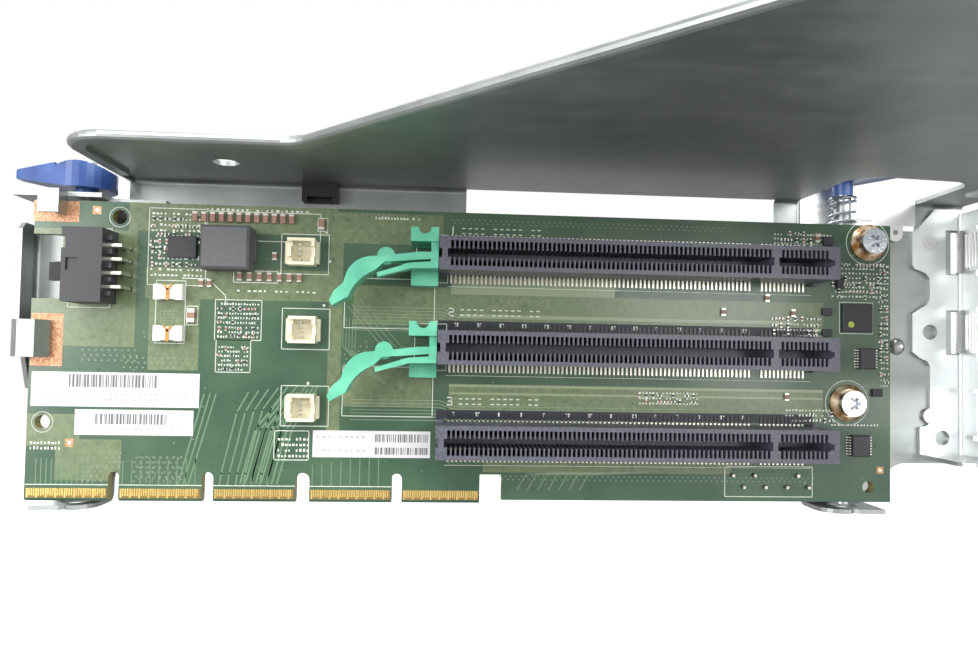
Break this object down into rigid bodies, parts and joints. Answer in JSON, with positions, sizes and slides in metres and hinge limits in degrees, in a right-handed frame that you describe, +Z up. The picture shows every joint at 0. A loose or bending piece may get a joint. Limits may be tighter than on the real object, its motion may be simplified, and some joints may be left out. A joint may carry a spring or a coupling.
{
  "type": "riser cage bracket",
  "caption": "Folded steel riser cage for expansion cards, with its riser board, card slots, slot blanks and half-turn spring latches.",
  "frame": {"origin": "axis of the front latch, at the underside of the front foot", "axes": "+X to the rear of the server along the board, +Y away from the card side, +Z up"},
  "size_m": [0.2426, 0.1247, 0.0863],
  "materials": {
    "slot_housing": "moulded, slightly glossy",
    "contact_gold": "plated",
    "latch_green": "moulded",
    "header_cream": "moulded",
    "header_black": "moulded",
    "pin_metal": "tin plated",
    "blank_steel": "bright",
    "screw_steel": "zinc plated",
    "washer_steel": "plated",
    "lever_blue": "moulded",
    "latch_steel": "turned",
    "spring_steel": "drawn wire",
    "cage_steel": "galvanised sheet",
    "frame_steel": "galvanised sheet",
    "bright_steel": "bright sheet",
    "rivet_steel": "flush",
    "board_mask": "glass fibre board with solder mask",
    "chip_black": "moulded",
    "inductor_core": "pressed powder",
    "capacitor": "ceramic",
    "fuse_ceramic": "ceramic",
    "clip_black": "moulded"
  },
  "bodies": {
    "root": {"cage_shell": "cage_steel", "rear_frame": "frame_steel", "latch_bracket": "bright_steel", "frame_rivets": "rivet_steel", "riser_board": "board_mask", "board_washers": "washer_steel", "board_screws": "screw_steel", "card_slot_1": "slot_housing", "card_slot_2": "slot_housing", "card_slot_3": "slot_housing", "slot_contacts_1": "contact_gold", "slot_contacts_2": "contact_gold", "slot_contacts_3": "contact_gold", "card_latch_1": "latch_green", "card_latch_2": "latch_green", "power_header": "header_black", "power_header_pins": "pin_metal", "signal_header_1": "header_cream", "signal_header_2": "header_cream", "signal_header_3": "header_cream", "signal_pins": "pin_metal", "inductor": "inductor_core", "power_controller": "chip_black", "logic_chip": "chip_black", "buffer_chips": "chip_black", "small_chips": "chip_black", "ceramic_capacitors": "capacitor", "fuse_blocks": "fuse_ceramic", "tail_header": "header_black", "tail_header_pins": "pin_metal", "panel_clip": "clip_black", "slot_blank_1": "blank_steel", "slot_blank_2": "blank_steel", "blank_screws": "screw_steel", "front_spring": "spring_steel", "rear_spring": "spring_steel"},
    "front_latch": {"front_lever": "lever_blue", "front_shaft": "latch_steel", "front_cross_pin": "latch_steel", "front_retainer": "latch_steel"},
    "rear_latch": {"rear_lever": "lever_blue", "rear_shaft": "latch_steel", "rear_cross_pin": "latch_steel", "rear_retainer": "latch_steel"}
  },
  "joints": [
    {"name": "front_latch_turn", "type": "hinge", "parent": "root", "child": "front_latch", "pos_m": [0, 0, 0.04], "axis": [0, 0, 1], "range_deg": [-90, 90]},
    {"name": "rear_latch_turn", "type": "hinge", "parent": "root", "child": "rear_latch", "pos_m": [0.18, 0, 0.04], "axis": [0, 0, 1], "range_deg": [0, 180]}
  ]
}
